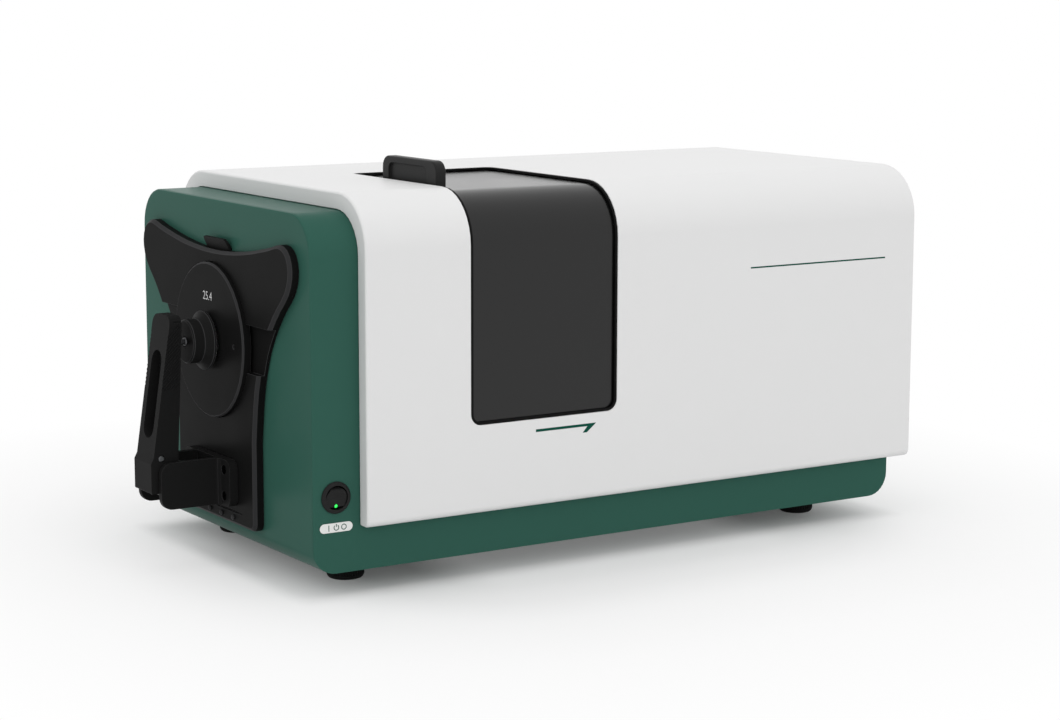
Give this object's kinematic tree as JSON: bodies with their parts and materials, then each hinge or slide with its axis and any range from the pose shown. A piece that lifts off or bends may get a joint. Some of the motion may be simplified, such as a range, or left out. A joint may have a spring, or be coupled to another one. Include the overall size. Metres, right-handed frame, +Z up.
{
  "type": "benchtop colorimeter",
  "caption": "Long bench colour-measuring instrument with a rounded cover, a front sample port with a sprung clamp arm, and a sliding door over its sample chamber.",
  "frame": {"origin": "on the table below the middle of the whole instrument, feet resting at z = 0", "axes": "+X from the front sample port to the rear panel, +Y away from the side with the door and the switch, +Z up"},
  "size_m": [0.567, 0.284, 0.2816],
  "materials": {
    "green_paint": "fine-textured satin powder coat",
    "white_paint": "satin powder coat",
    "sphere_coating": "matt diffuse white",
    "black_plastic": "fine moulded texture",
    "charcoal_plastic": "satin",
    "black_anodised": "satin black anodised",
    "rubber": "matt",
    "dark_steel": "blackened",
    "steel": "ground",
    "bare_aluminium": "as milled",
    "clear_glass": "polished",
    "mirror_glass": "polished",
    "green_lens": "gloss",
    "label_white": "matt",
    "fibre_jacket": "matt",
    "circuit_board": "solder mask"
  },
  "bodies": {
    "housing": {"chassis": "green_paint", "rear_panel": "green_paint", "white_cover": "white_paint", "sphere_front": "sphere_coating", "sphere_rear": "sphere_coating", "door_trim": "black_plastic", "power_inlet": "black_plastic", "switch_bezel": "black_plastic", "cell_holder": "black_plastic", "port_plate": "black_anodised", "aperture_disc": "black_anodised", "bracket": "black_anodised", "bracket_screw_1": "black_anodised", "bracket_screw_2": "black_anodised", "bracket_screw_3": "black_anodised", "bracket_screw_4": "black_anodised", "chamber_liner": "black_anodised", "lens_barrel": "black_anodised", "base_stud_1": "dark_steel", "base_stud_2": "dark_steel", "base_stud_3": "dark_steel", "base_stud_4": "dark_steel", "foot_1": "rubber", "foot_2": "rubber", "foot_3": "rubber", "foot_4": "rubber", "hinge_pin": "steel", "foot_screw_1": "steel", "foot_screw_2": "steel", "foot_screw_3": "steel", "foot_screw_4": "steel", "data_socket": "steel", "door_rail_low": "bare_aluminium", "door_rail_high": "bare_aluminium", "sphere_stand": "bare_aluminium", "lamp_housing": "bare_aluminium", "spectrometer_case": "bare_aluminium", "spectrometer_lid": "bare_aluminium", "deck_plate": "bare_aluminium", "power_supply": "bare_aluminium", "beam_lens": "clear_glass", "flash_lamp": "clear_glass", "grating": "mirror_glass", "power_label": "label_white", "fibre_link": "fibre_jacket", "main_board": "circuit_board"},
    "latch": {"port_latch": "black_anodised"},
    "arm": {"arm": "black_anodised", "arm_pin": "steel", "ball_stud": "dark_steel"},
    "pad": {"pusher": "black_anodised", "pusher_pad": "rubber"},
    "rocker": {"switch_rocker": "black_plastic", "switch_lens": "green_lens"},
    "door": {"sample_door": "charcoal_plastic", "door_handle": "charcoal_plastic"}
  },
  "joints": [
    {"name": "arm_hinge", "type": "hinge", "parent": "housing", "child": "arm", "pos_m": [-0.2685, 0, 0.063], "axis": [0, -1, 0], "range_deg": [0, 85], "stiffness_Nm_per_rad": 0.2, "springref_deg": -34.38},
    {"name": "pad_slide", "type": "slide", "parent": "arm", "child": "pad", "axis": [-1, 0, 0], "range_m": [0, 0.004], "stiffness_N_per_m": 800, "springref_m": -0.002},
    {"name": "door_slide", "type": "slide", "parent": "housing", "child": "door", "axis": [1, 0, 0], "range_m": [0, 0.1]},
    {"name": "latch_press", "type": "slide", "parent": "housing", "child": "latch", "axis": [0, 0, -1], "range_m": [0, 0.0015], "stiffness_N_per_m": 1500, "springref_m": -0.0005},
    {"name": "rocker_tilt", "type": "hinge", "parent": "housing", "child": "rocker", "pos_m": [-0.2045, -0.1276, 0.0674], "axis": [-1, 0, 0], "range_deg": [0, 14]}
  ]
}
